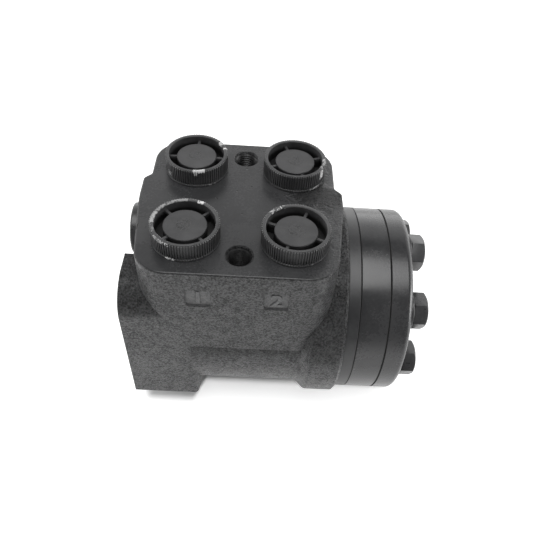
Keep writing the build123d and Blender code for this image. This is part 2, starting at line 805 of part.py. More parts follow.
def main():
    lip_radius = spool_neck_radius + seal_lip_gap
    dust_start = pilot_depth + dust_seal_set_back
    outer_race_end = bore_start + outer_race_thickness
    write("housing", housing())
    write("distributor_plate", distributor_plate())
    write("gear_ring", gear_ring())
    write("end_cover", end_cover())
    write("cover_screws", cover_screws())
    write("pin_screw", pin_screw())
    write("screw_washers", screw_washers())
    write("housing_seal", o_ring(housing_length - seal_groove_depth, 1))
    write("plate_seal", o_ring(gear_x - seal_groove_depth, 1))
    write("cover_seal", o_ring(cover_x + seal_groove_depth, -1))
    write("dust_seal", ring(dust_start, dust_start + dust_seal_width, dust_seal_radius, lip_radius))
    write("shaft_seal", ring(shaft_seal_start, shaft_seal_start + shaft_seal_width,
                             shaft_seal_radius, lip_radius))
    write("bearing_outer_race", ring(bore_start, outer_race_end, race_outer_radius, race_inner_radius))
    write("needle_cage", needle_cage())
    write("bearing_needles", needles())
    write("bearing_inner_race", ring(inner_race_x, inner_race_x + inner_race_thickness,
                                     race_outer_radius, race_inner_radius))
    write("sleeve", sleeve())
    write("spring_ring", spring_ring())
    write("leaf_springs", leaf_springs())
    write("cross_pin", cross_pin())
    write("spool", spool())
    write("cardan_shaft", cardan_shaft())
    write("drive_spacer", drive_spacer())
    write("gear_rotor", gear_rotor())
    write("check_seat", check_seat())
    write("check_ball", check_ball())
    write("relief_plug", relief_plug())
    write("relief_washer", relief_washer())
    write("relief_spring", relief_spring())
    write("relief_poppet", relief_poppet())
    write("relief_seat", relief_seat())
    for x, side in zip(port_xs, ("left", "right")):
        for y, row in ((front_ports_y, "front"), (rear_ports_y, "rear")):
            place = f"{row}_{side}"
            write(f"port_plug_{place}", port_plug(x, y, plug_phases[place]))


main()
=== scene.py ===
"""Looks of an orbital steering unit: painted casting, gear set, screws and transport plugs.

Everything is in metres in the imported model's frame: +X along the spool from the
mounting face to the end cover, +Z out of the port face, origin at the middle of
the mounting face.
"""
import math

import bmesh
import bpy
from mathutils import Matrix, Vector


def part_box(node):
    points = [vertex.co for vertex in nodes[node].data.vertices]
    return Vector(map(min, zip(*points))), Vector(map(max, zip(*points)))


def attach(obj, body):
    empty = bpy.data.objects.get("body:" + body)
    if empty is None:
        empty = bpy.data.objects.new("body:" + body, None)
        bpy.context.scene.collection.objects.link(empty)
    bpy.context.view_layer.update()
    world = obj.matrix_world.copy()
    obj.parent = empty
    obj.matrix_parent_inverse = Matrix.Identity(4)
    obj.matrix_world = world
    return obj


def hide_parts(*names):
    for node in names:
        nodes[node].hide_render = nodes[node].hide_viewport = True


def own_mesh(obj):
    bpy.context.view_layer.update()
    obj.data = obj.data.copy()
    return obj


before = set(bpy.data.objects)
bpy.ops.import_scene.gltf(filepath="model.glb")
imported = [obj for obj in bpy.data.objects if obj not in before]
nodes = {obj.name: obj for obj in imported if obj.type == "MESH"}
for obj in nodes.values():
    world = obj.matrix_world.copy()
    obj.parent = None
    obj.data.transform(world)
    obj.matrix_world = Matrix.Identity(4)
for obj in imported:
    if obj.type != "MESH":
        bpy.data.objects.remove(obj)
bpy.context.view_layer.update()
mm = 0.001


# ---------------------------------------------------------------- housing
# The housing is one iron sand casting with a port block on its back.  The port
# face and the mounting face are milled, then the whole is sprayed satin black,
# so the mould's grain shows on the walls and only dust and pits on the port face.
port_face_z = 59.0 * mm
mounting_face_x = 0.0
machined_depth = 0.12 * mm
tap_radius = 5.0 * mm
hole_x = 49.5 * mm
hole_y = 31.0 * mm
paint_black = (0.021, 0.0212, 0.0222, 1.0)
paint_grey = (0.034, 0.0342, 0.0352, 1.0)
# black of pits, chips and joints, also used for painted shade and painted shadow
pit_and_shade_black = (0.003, 0.003, 0.003, 1.0)
skin_grey = (0.05, 0.0505, 0.0515, 1.0)


def shader_node(tree, kind, settings=None, inputs=None):
    """Adds a node.  Inputs take a plain value or another node's output."""
    node = tree.nodes.new(kind)
    for name, value in (settings or {}).items():
        setattr(node, name, value)
    for name, value in (inputs or {}).items():
        if isinstance(value, bpy.types.NodeSocket):
            tree.links.new(value, node.inputs[name])
        else:
            node.inputs[name].default_value = value
    return node


def calc(tree, operation, a, b=0.0, clamp=False):
    node = shader_node(tree, "ShaderNodeMath", {"operation": operation, "use_clamp": clamp}, {0: a, 1: b})
    return node.outputs[0]


def plus(tree, a, b):
    return calc(tree, "ADD", a, b)


def minus(tree, a, b):
    return calc(tree, "SUBTRACT", a, b)


def times(tree, a, b):
    return calc(tree, "MULTIPLY", a, b)


def largest(tree, a, b):
    return calc(tree, "MAXIMUM", a, b)


def distance_to(tree, a, b):
    return calc(tree, "ABSOLUTE", minus(tree, a, b))


def split(tree, vector):
    return shader_node(tree, "ShaderNodeSeparateXYZ", None, {"Vector": vector}).outputs


def ramp(tree, value, low, high, out_low=0.0, out_high=1.0):
    """Smooth step of a value from one level to another."""
    node = shader_node(tree, "ShaderNodeMapRange", {"interpolation_type": "SMOOTHSTEP"},
                       {"Value": value, "From Min": low, "From Max": high,
                        "To Min": out_low, "To Max": out_high})
    return node.outputs["Result"]


def blend_colour(tree, mask, first, second):
    node = shader_node(tree, "ShaderNodeMix", {"data_type": "RGBA"}, {0: mask, 6: first, 7: second})
    return node.outputs[2]


def blend_value(tree, mask, first, second):
    node = shader_node(tree, "ShaderNodeMix", {"data_type": "FLOAT"}, {0: mask, 2: first, 3: second})
    return node.outputs[0]


def noise(tree, place, scale, detail=3.0, rough=0.55, warp=0.0):
    node = shader_node(tree, "ShaderNodeTexNoise", None, {
        "Vector": place, "Scale": scale, "Detail": detail, "Roughness": rough, "Distortion": warp})
    return node.outputs["Fac"]


def new_group(name, inputs, outputs):
    """Starts a node group; returns its tree, its input node and its output node."""
    tree = bpy.data.node_groups.new(name, "ShaderNodeTree")
    for side, sockets in (("INPUT", inputs), ("OUTPUT", outputs)):
        for label, value in sockets.items():
            kind = "NodeSocketVector" if value == "vector" else (
                "NodeSocketColor" if isinstance(value, tuple) else "NodeSocketFloat")
            socket = tree.interface.new_socket(label, in_out=side, socket_type=kind)
            if side == "INPUT" and value != "vector":
                socket.default_value = value
    return tree, tree.nodes.new("NodeGroupInput").outputs, tree.nodes.new("NodeGroupOutput").inputs


def use_group(tree, group, inputs):
    return shader_node(tree, "ShaderNodeGroup", {"node_tree": group}, inputs).outputs


def new_material(name):
    """Starts a material; returns it with its tree, its shader and Object coordinates."""
    material = bpy.data.materials.new(name)
    material.use_nodes = True
    tree = material.node_tree
    shader = tree.nodes["Principled BSDF"]
    place = tree.nodes.new("ShaderNodeTexCoord").outputs["Object"]
    return material, tree, shader, place


def bump(tree, height, distance):
    node = shader_node(tree, "ShaderNodeBump", None, {
        "Height": height, "Distance": distance, "Strength": 1.0})
    return node.outputs["Normal"]


def scaled(tree, place, scale):
    """Coordinates scaled axis by axis."""
    return shader_node(tree, "ShaderNodeMapping", None, {"Vector": place, "Scale": scale}).outputs[0]


def around(tree, place, middle, reach):
    """Coordinates from a middle point, measured in each axis's own reach."""
    return shader_node(tree, "ShaderNodeMapping", None, {
        "Vector": place, "Scale": tuple(1 / r for r in reach),
        "Location": tuple(-c / r for c, r in zip(middle, reach))}).outputs[0]


def vector_length(tree, vector):
    node = shader_node(tree, "ShaderNodeVectorMath", {"operation": "LENGTH"}, {0: vector})
    return node.outputs["Value"]


def nearness(tree, place, middle, reach):
    """Distance from a middle point, measured in each axis's own reach."""
    return vector_length(tree, around(tree, place, middle, reach))


def from_axis(tree, axes):
    """Distance from the upright line through the origin."""
    flat = shader_node(tree, "ShaderNodeCombineXYZ", None, {"X": axes["X"], "Y": axes["Y"]})
    return vector_length(tree, flat.outputs[0])


def sprayed_paint_group():
    """Sprayed paint: cloudy colour, dust nibs, pits, and an even fine orange peel."""
    tree, given, out = new_group("sprayed_paint", {
        "Place": "vector", "Dark": paint_black, "Light": paint_grey, "Pits": 1.0, "Shine": 0.4,
    }, {"Colour": paint_black, "Roughness": 0.4, "Peel": 0.0})
    place = given["Place"]
    cloud = noise(tree, place, 55.0, 4.0, 0.6)
    fine = noise(tree, place, 900.0, 3.0, 0.6)
    cells = shader_node(tree, "ShaderNodeTexVoronoi", None, {
        "Vector": place, "Scale": 210.0, "Randomness": 1.0})
    pick = shader_node(tree, "ShaderNodeTexWhiteNoise", None, {"Vector": cells.outputs["Color"]})
    chosen = calc(tree, "GREATER_THAN", pick.outputs["Value"], 0.86)
    dot = ramp(tree, cells.outputs["Distance"], 0.02, 0.13, 1.0, 0.0)
    pit = times(tree, times(tree, dot, chosen), given["Pits"])
    mist = ramp(tree, plus(tree, times(tree, cloud, 0.7), times(tree, fine, 0.3)), 0.36, 0.66)
    tone = blend_colour(tree, mist, given["Dark"], given["Light"])
    tree.links.new(blend_colour(tree, pit, tone, pit_and_shade_black), out["Colour"])
    tree.links.new(plus(tree, given["Shine"], times(tree, mist, 0.1)), out["Roughness"])
    peel = minus(tree, times(tree, fine, 0.5), pit)
    tree.links.new(peel, out["Peel"])
    return tree


sprayed_paint = sprayed_paint_group()


# noise scales of the mould's grain: sand, the lumps under it, and the drags of a rapped mould
sand_scale = 1150.0
lump_scale = 260.0
drag_scale = 330.0
soot_black = (0.009, 0.0091, 0.0095, 1.0)
# painted shade: the cast skin's lighter grain tone where the skin faces up
up_facing_shade_grey = (0.04, 0.0405, 0.0415, 1.0)
# the port face keeps its casting skin in one patch, along its right margin and across one corner
skin_patch_middle = (83 * mm, 7 * mm, port_face_z)
skin_patch_reach = (13 * mm, 8.5 * mm, 8 * mm)
margin_start, margin_end = 87 * mm, 92 * mm
corner_start, corner_end = 108 * mm, 122 * mm
# chips as middle X and Y, half length along X and along Y; specks as X and Y, all in millimetres
edge_chips = ((91.1, 6.0, 0.22, 3.9), (92.2, 10.4, 1.1, 0.3), (91.9, 2.5, 0.9, 0.4), (92.3, -12.2, 0.8, 2.2),
              (91.7, -15.6, 0.35, 1.6), (7.0, -17.8, 0.5, 1.5))
face_specks = ((49.3, -6.7), (46.4, 7.7), (52.8, 11.0), (50.1, 23.4), (38.0, 2.5), (58.6, -14.0))
speck_radius = 0.5
chip_blur = 0.25
chip_wander = 2.2 * mm
mark_depth = 4 * mm
# painted shade: the tapped holes darken inwards from this far below the port face
hole_shade_drop = 8 * mm
hole_shade_reach = 7.6 * mm
hole_shade = 0.7
pocket_xs = (33.7 * mm, 65.3 * mm)
pocket_z = 44.2 * mm
pocket_half = 5.1 * mm
# painted light: lighter paint lies from the raised number's face to just behind the pocket's floor, lifting
# the pockets out of their shade
pocket_paint_front = -41.75 * mm
pocket_paint_back = -41.0 * mm
pocket_lit_grey = (0.09, 0.0905, 0.0915, 1.0)


def housing_material():
    material, tree, shader, place = new_material("housing_paint")
    axes = split(tree, place)
    face = ramp(tree, axes["Z"], port_face_z - 2 * machined_depth, port_face_z - machined_depth)
    mount = ramp(tree, axes["X"], mounting_face_x + machined_depth,
                 mounting_face_x + 2 * machined_depth, 1.0, 0.0)
    milled = largest(tree, face, mount)
    paint = use_group(tree, sprayed_paint, {"Place": place, "Pits": 0.6, "Shine": 0.22})

    # mould grain: sand pressed into the skin, lumps under it, and drags where the mould was rapped
    sand = noise(tree, place, sand_scale, 4.0, 0.7)
    lumps = noise(tree, place, lump_scale, 4.0, 0.6, 0.8)
    drags = noise(tree, scaled(tree, place, (1.0, 1.0, 0.3)), drag_scale, 3.0, 0.6, 0.9)
    drag_places = ramp(tree, noise(tree, place, 42.0, 2.0, 0.5), 0.42, 0.62)
    skin = plus(tree, times(tree, sand, 1.5), times(tree, lumps, 1.6))
    skin = plus(tree, skin, times(tree, times(tree, drags, drag_places), 1.0))

    # the cutter cleaned up only part of the port face
    from_patch = nearness(tree, place, skin_patch_middle, skin_patch_reach)
    patch = ramp(tree, plus(tree, from_patch, times(tree, lumps, 1.2)), 1.2, 1.9, 1.0, 0.0)
    ragged_x = plus(tree, axes["X"], times(tree, lumps, 6 * mm))
    margin = ramp(tree, ragged_x, margin_start, margin_end)
    corner = ramp(tree, minus(tree, axes["X"], axes["Y"]), corner_start, corner_end)
    uncut = largest(tree, patch, times(tree, largest(tree, margin, corner), 0.4))
    clean = times(tree, milled, calc(tree, "SUBTRACT", 1.0, uncut, True))
    rough = minus(tree, 1.0, clean)

    # knocks along the edges and single specks of dirt, all near the port face
    warped = times(tree, minus(tree, lumps, 0.5), chip_wander)
    marks_and_hole_shade = 0.0
    for x, y, half_x, half_y in edge_chips:
        off_x = distance_to(tree, plus(tree, axes["X"], warped), x * mm)
        off_y = distance_to(tree, plus(tree, axes["Y"], warped), y * mm)
        inside = times(tree, ramp(tree, off_x, half_x * mm, (half_x + chip_blur) * mm, 1.0, 0.0),
                       ramp(tree, off_y, half_y * mm, (half_y + chip_blur) * mm, 1.0, 0.0))
        marks_and_hole_shade = largest(tree, inside, marks_and_hole_shade)
    for x, y in face_specks:
        reach = (speck_radius * mm, speck_radius * mm, 1 * mm)
        dot = ramp(tree, nearness(tree, place, (x * mm, y * mm, port_face_z), reach), 0.5, 1.1, 0.8, 0.0)
        marks_and_hole_shade = largest(tree, dot, marks_and_hole_shade)
    marks_and_hole_shade = times(tree, marks_and_hole_shade, calc(tree, "GREATER_THAN", axes["Z"], port_face_z - mark_depth))
    # painted shade inside the two tapped holes joins the knocks and specks
    for side in (-1, 1):
        middle = (hole_x, side * hole_y, port_face_z - hole_shade_drop)
        reach = (tap_radius, tap_radius, hole_shade_reach)
        parts = split(tree, around(tree, place, middle, reach))
        ring = plus(tree, times(tree, parts["X"], parts["X"]), times(tree, parts["Y"], parts["Y"]))
        deep_shade = times(tree, calc(tree, "LESS_THAN", ring, 1.04), calc(tree, "LESS_THAN", parts["Z"], 1.0))
        marks_and_hole_shade = largest(tree, marks_and_hole_shade, times(tree, deep_shade, hole_shade))

    # soot held by the skin's hollows; painted shade: the skin is darker wherever it faces up, and less
    # coated and rougher there
    normal = split(tree, tree.nodes.new("ShaderNodeNewGeometry").outputs["Normal"])
    up_facing_shade = times(tree, ramp(tree, normal["Z"], 0.05, 0.3), minus(tree, 1.0, face))
    grain = ramp(tree, plus(tree, times(tree, sand, 0.75), times(tree, lumps, 0.25)), 0.36, 0.64)
    bright = blend_colour(tree, up_facing_shade, skin_grey, up_facing_shade_grey)
    dim = blend_colour(tree, up_facing_shade, soot_black, pit_and_shade_black)
    cast = blend_colour(tree, grain, dim, bright)
    # painted shadow: the uncut patch is darkened toward black for the right plugs' shadow lying on it
    cast = blend_colour(tree, times(tree, patch, 0.6), cast, pit_and_shade_black)
    tone = blend_colour(tree, rough, paint["Colour"], cast)

    # painted light: lighter paint in the two number pockets, against the shade in them
    across = [distance_to(tree, axes["X"], x) for x in pocket_xs]
    pocket = calc(tree, "LESS_THAN", calc(tree, "MINIMUM", across[0], across[1]), pocket_half)
    drop = distance_to(tree, axes["Z"], pocket_z)
    pocket = times(tree, pocket, calc(tree, "LESS_THAN", drop, pocket_half))
    pocket = times(tree, pocket, calc(tree, "GREATER_THAN", axes["Y"], pocket_paint_front))
    pocket = times(tree, pocket, calc(tree, "LESS_THAN", axes["Y"], pocket_paint_back))
    tone = blend_colour(tree, times(tree, pocket, 0.8), tone, pocket_lit_grey)
    tree.links.new(blend_colour(tree, marks_and_hole_shade, tone, pit_and_shade_black), shader.inputs["Base Color"])
    gloss = times(tree, grain, minus(tree, 1.0, times(tree, up_facing_shade, 0.55)))
    gloss = times(tree, gloss, minus(tree, 1.0, times(tree, patch, 0.4)))
    tree.links.new(blend_value(tree, rough, 0.36, times(tree, gloss, 0.7)), shader.inputs["Coat Weight"])
    shader.inputs["Coat Roughness"].default_value = 0.34
    shader.inputs["Specular IOR Level"].default_value = 0.22
    cast_shine = plus(tree, paint["Roughness"], times(tree, up_facing_shade, 0.2))
    cast_shine = plus(tree, cast_shine, 0.1)
    tree.links.new(blend_value(tree, rough, paint["Roughness"], cast_shine), shader.inputs["Roughness"])
    deeper = plus(tree, plus(tree, times(tree, patch, 4.0), up_facing_shade), 1.8)
    height = blend_value(tree, clean, times(tree, skin, deeper), times(tree, paint["Peel"], 0.16))
    height = times(tree, height, minus(tree, 1.0, times(tree, pocket, 0.75)))
    height = minus(tree, height, marks_and_hole_shade)
    tree.links.new(bump(tree, height, 0.3 * mm), shader.inputs["Normal"])
    return material


def coat(node, material):
    """Gives a CAD node its finish."""
    nodes[node].data.materials.clear()
    nodes[node].data.materials.append(material)


coat("housing", housing_material())


# ---------------------------------------------------------- gear set stack
# Distributor plate, gear ring and end cover are ground steel discs of one
# diameter, clamped face to face and painted with the housing.  Their rims are
# turned, so the paint lies smooth and shows a soft wide sheen.
def stack_material(name, shine):
    material, tree, shader, place = new_material(name)
    paint = use_group(tree, sprayed_paint, {"Place": place, "Pits": 0.35, "Shine": shine})
    lathe = noise(tree, scaled(tree, place, (30.0, 1.0, 1.0)), 90.0, 3.0, 0.6)
    fog = noise(tree, place, 38.0, 3.0, 0.5)
    height = plus(tree, times(tree, lathe, 0.3), times(tree, paint["Peel"], 0.35))
    height = plus(tree, height, times(tree, fog, 0.5))
    along = split(tree, place)["X"]
    seams = 0.0
    for x, half_width in stack_seams:
        off = distance_to(tree, along, x)
        seams = largest(tree, ramp(tree, off, half_width * 0.7, half_width, 1.0, 0.0), seams)
    tree.links.new(blend_colour(tree, seams, paint["Colour"], pit_and_shade_black), shader.inputs["Base Color"])
    tree.links.new(blend_value(tree, seams, paint["Roughness"], 0.9), shader.inputs["Roughness"])
    tree.links.new(bump(tree, height, 0.03 * mm), shader.inputs["Normal"])
    return material


# the joints collect dirt, most of all the one under the cover, as (X, half width)
stack_seams = ((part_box("gear_ring")[0].x, 0.2 * mm), (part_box("gear_ring")[1].x, 0.5 * mm))
stack_paint = stack_material("stack_paint", 0.2)
coat("distributor_plate", stack_material("plate_paint", 0.36))
for piece in ("gear_ring", "end_cover"):
    coat(piece, stack_paint)


# ----------------------------------------------------------------- screws
# Seven hex screws, cold forged with a chamfered crown, hold the stack on thick
# plain washers.  They were fitted before painting, so they are black too.
screw_circle = 32.5 * mm
screw_phase = math.radians(87.5)
screw_count = 7
pin_screw_index = 3
cover_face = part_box("end_cover")[1].x
across_flats = 15.0 * mm
head_height = 6.4 * mm
washer_radius = 8.6 * mm
washer_height = 2.0 * mm
shank_radius = 4.0 * mm
edge_softness = 0.16 * mm
# a turned outline ends this close to its axis, and points closer than weld_reach are joined
pole = 0.001 * mm
weld_reach = 0.004 * mm


def deselect():
    if bpy.context.object and bpy.context.object.mode != "OBJECT":
        bpy.ops.object.mode_set(mode="OBJECT")
    bpy.ops.object.select_all(action="DESELECT")


def turned(name, profile, sides):
    """Draws a turned piece ring by ring from (radius, height) points.

    Its ends are closed to a pole or to each other.
    """
    deselect()
    first_radius, first_height = profile[0]
    bpy.ops.mesh.primitive_circle_add(vertices=sides, radius=first_radius, location=(0, 0, first_height),
                                      fill_type="NOTHING")
    piece = bpy.context.object
    piece.name = name
    bpy.ops.object.transform_apply(location=True, rotation=False, scale=False)
    bpy.ops.object.mode_set(mode="EDIT")
    bpy.ops.mesh.select_mode(type="VERT")
    bpy.ops.mesh.select_all(action="SELECT")
    at_radius, at_height = first_radius, first_height
    for radius, height in profile[1:]:
        bpy.ops.mesh.extrude_region_move(TRANSFORM_OT_translate={"value": (0, 0, height - at_height)})
        growth = radius / at_radius
        bpy.ops.transform.resize(value=(growth, growth, 1), center_override=(0, 0, height))
        at_radius, at_height = radius, height
    bpy.ops.mesh.select_all(action="SELECT")
    bpy.ops.mesh.remove_doubles(threshold=weld_reach)
    bpy.ops.mesh.select_all(action="SELECT")
    bpy.ops.mesh.normals_make_consistent(inside=False)
    bpy.ops.object.mode_set(mode="OBJECT")
    return piece


def apply_modifiers(piece):
    deselect()
    bpy.context.view_layer.objects.active = piece
    piece.select_set(True)
    for modifier in list(piece.modifiers):
        bpy.ops.object.modifier_apply(modifier=modifier.name)


def settle(piece, matrix):
    """Places a finished mesh, leaving its object at the origin."""
    piece.data.transform(matrix)
    piece.matrix_world = Matrix.Identity(4)


def smooth(piece, angle=35.0):
    deselect()
    bpy.context.view_layer.objects.active = piece
    piece.select_set(True)
    bpy.ops.object.shade_smooth_by_angle(angle=math.radians(angle))


def copy_piece(piece, name):
    twin = piece.copy()
    twin.data = piece.data.copy()
    twin.name = name
    bpy.context.scene.collection.objects.link(twin)
    return twin


def forged_material():
    material, tree, shader, place = new_material("forged_black")
    paint = use_group(tree, sprayed_paint, {
        "Place": place, "Dark": (0.026, 0.0262, 0.027, 1.0), "Light": (0.045, 0.0453, 0.0465, 1.0),
        "Pits": 0.2, "Shine": 0.26})
    scale_marks = noise(tree, place, 380.0, 4.0, 0.6)
    height = plus(tree, times(tree, scale_marks, 0.6), times(tree, paint["Peel"], 0.3))
    tree.links.new(paint["Colour"], shader.inputs["Base Color"])
    tree.links.new(paint["Roughness"], shader.inputs["Roughness"])
    tree.links.new(bump(tree, height, 0.05 * mm), shader.inputs["Normal"])
    return material


forged_black = forged_material()


def hex_screw(name, shank_end):
    """Hex prism cut by a turned crown; the shank runs down to shank_end below the seat."""
    corner = across_flats / 2 / math.cos(math.pi / 6)
    deselect()
    bpy.ops.mesh.primitive_cylinder_add(vertices=6, radius=corner, depth=head_height,
                                        location=(0, 0, head_height / 2))
    head = bpy.context.object
    head.name = name
    bpy.ops.object.transform_apply(location=True, rotation=False, scale=False)
    flat = across_flats / 2
    crown = turned("crown", [
        (pole, -0.1 * mm), (corner - 0.5 * mm, -0.1 * mm), (corner + mm, 0.7 * mm),
        (corner + mm, head_height - 1.7 * mm), (corner - 0.3 * mm, head_height - 0.85 * mm),
        (flat - 0.6 * mm, head_height), (flat - 1.7 * mm, head_height),
        (flat - 2.1 * mm, head_height - 0.12 * mm), (pole, head_height - 0.12 * mm)], 72)
    cut = head.modifiers.new("crown", "BOOLEAN")
    cut.operation = "INTERSECT"
    cut.object = crown
    apply_modifiers(head)
    bpy.data.objects.remove(crown)
    soft = head.modifiers.new("edges", "BEVEL")
    soft.width = edge_softness
    soft.segments = 2
    soft.limit_method = "ANGLE"
    soft.angle_limit = math.radians(28)
    apply_modifiers(head)
    shank = turned("shank", [
        (pole, 0.3 * mm), (shank_radius, 0.3 * mm), (shank_radius, shank_end + 0.6 * mm),
        (shank_radius - 0.6 * mm, shank_end), (pole, shank_end)], 40)
    deselect()
    shank.select_set(True)
    head.select_set(True)
    bpy.context.view_layer.objects.active = head
    bpy.ops.object.join()
    smooth(head, 30)
    head.data.materials.clear()
    head.data.materials.append(forged_black)
    return head


shank_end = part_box("cover_screws")[0].x - cover_face - washer_height
master_screw = hex_screw("screw_master", shank_end)
master_washer = turned("washer_master", [
    (shank_radius + 0.3 * mm, 0.0), (washer_radius - 0.15 * mm, 0.0), (washer_radius, 0.15 * mm),
    (washer_radius, washer_height - 0.55 * mm), (washer_radius - 0.2 * mm, washer_height - 0.3 * mm),
    (washer_radius - 0.9 * mm, washer_height - 0.1 * mm), (washer_radius - 1.2 * mm, washer_height),
    (shank_radius + 0.5 * mm, washer_height), (shank_radius + 0.3 * mm, washer_height - 0.2 * mm),
    (shank_radius + 0.3 * mm, 0.0)], 64)
smooth(master_washer, 30)
master_washer.data.materials.append(forged_black)
along_axis = Matrix.Rotation(math.pi / 2, 4, "Y")
head_turns = (44, 53, 51, 20, 38, 8, 34)
for k in range(screw_count):
    angle = screw_phase + 2 * math.pi * k / screw_count
    spot = Vector((cover_face, screw_circle * math.cos(angle), screw_circle * math.sin(angle)))
    turn = Matrix.Rotation(math.radians(head_turns[k]), 4, "Z")
    screw = copy_piece(master_screw, f"hex_screw_{k + 1}")
    settle(screw, Matrix.Translation(spot + Vector((washer_height, 0, 0))) @ along_axis @ turn)
    washer = copy_piece(master_washer, f"washer_{k + 1}")
    settle(washer, Matrix.Translation(spot) @ along_axis)
    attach(screw, "housing")
    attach(washer, "housing")
    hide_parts("pin_screw" if k == pin_screw_index else "cover_screws")
    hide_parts("screw_washers")
bpy.data.objects.remove(master_screw)
bpy.data.objects.remove(master_washer)


# ---------------------------------------------------------- transport plugs
# Four moulded screw plugs keep dirt out of the ports.  Each has a ribbed grip
# rim, a closed hub on four thin spokes, and a hollow threaded stem.  Handling
# has scuffed the rims down to pale stressed plastic.
plug_rim = 13.9 * mm
plug_rim_wall = 1.7 * mm
plug_height = 8.6 * mm
plug_web = 1.6 * mm
plug_hub = 8.8 * mm
plug_hub_drop = 1.8 * mm
plug_spoke_drop = 2.4 * mm
plug_spoke_width = 1.25 * mm
plug_stem = 9.3 * mm
plug_stem_core = 8.65 * mm
plug_stem_wall = 1.8 * mm
plug_stem_length = 12.0 * mm
plug_thread_pitch = 1.814 * mm
plug_lift = 0.1 * mm
grip_ribs = 80
rib_height = 0.42 * mm
spoke_softness = 0.22 * mm
stem_thread_turns = 4.5
plastic_dark = (0.026, 0.026, 0.027, 1.0)
plastic_light = (0.036, 0.036, 0.037, 1.0)
gap_shade_black = (0.004, 0.004, 0.004, 1.0)
mark_black = (0.008, 0.008, 0.008, 1.0)
worn_grey = (0.13, 0.13, 0.13, 1.0)
# how far each plug is screwed round, read at one spoke, in degrees from +X
spoke_phases = {"front_left": 45.0, "rear_left": 0.0, "rear_right": 20.0, "front_right": -22.0}


def rim_scuff_group():
    """Pale scuffs along one stretch of a plug's rim, broken up by the ribs and chips."""
    tree, given, out = new_group("rim_scuff", {
        "Place": "vector", "Angle": 0.0, "Spread": 0.5, "Low": 0.0, "High": 0.01, "Amount": 0.5,
    }, {"Mask": 0.0})
    axes = split(tree, given["Place"])
    angle = calc(tree, "ARCTAN2", axes["Y"], axes["X"])
    gap = minus(tree, angle, given["Angle"])
    wrapped = shader_node(tree, "ShaderNodeMath", {"operation": "WRAP"}, {0: gap, 1: math.pi, 2: -math.pi})
    gap = calc(tree, "ABSOLUTE", wrapped.outputs[0])
    near = ramp(tree, calc(tree, "DIVIDE", gap, given["Spread"]), 0.55, 1.0, 1.0, 0.0)
    above = calc(tree, "GREATER_THAN", axes["Z"], given["Low"])
    below = calc(tree, "LESS_THAN", axes["Z"], given["High"])
    chips = noise(tree, given["Place"], 620.0, 4.0, 0.65, 1.2)
    level = minus(tree, 1.0, times(tree, times(tree, near, given["Amount"]), 0.62))
    worn = calc(tree, "GREATER_THAN", chips, level)
    mask = times(tree, times(tree, worn, above), below)
    rim = calc(tree, "GREATER_THAN", from_axis(tree, axes), plug_rim - plug_rim_wall - 0.1 * mm)
    tree.links.new(times(tree, mask, rim), out["Mask"])
    return tree


rim_scuff = rim_scuff_group()
# scuffs as (angle, spread, lowest, highest, amount, tone) per plug, angles in degrees from +X
plug_scuffs = {
    "front_left": [
        (122, 50, 8.2, 9, 0.88, 0.2), (172, 22, 7.9, 9, 0.95, 0.26), (200, 14, 8.2, 9, 0.8, 0.16),
        (232, 26, 7.3, 8.4, 0.84, 0.36), (66, 9, 8.0, 9, 0.9, 0.5), (250, 13, 0.0, 1.2, 0.86, 0.4)],
    "rear_left": [
        (280, 17, 7.7, 9, 1.0, 0.42), (274, 4, 6.2, 7.7, 0.95, 0.4), (36, 8, 7.4, 9, 0.9, 0.5),
        (17, 4, 7.8, 9, 0.9, 0.5), (216, 9, 2.0, 4.2, 0.85, 0.3), (302, 20, 0.0, 0.7, 0.75, 0.25)],
    "rear_right": [
        (328, 8, 3.6, 8.2, 0.98, 0.55), (345, 26, 7.9, 9, 0.76, 0.3), (318, 26, 0.0, 0.9, 0.82, 0.34)],
    "front_right": [(128, 24, 7.9, 9, 0.78, 0.35), (310, 40, 0.0, 0.7, 0.7, 0.22)],
}


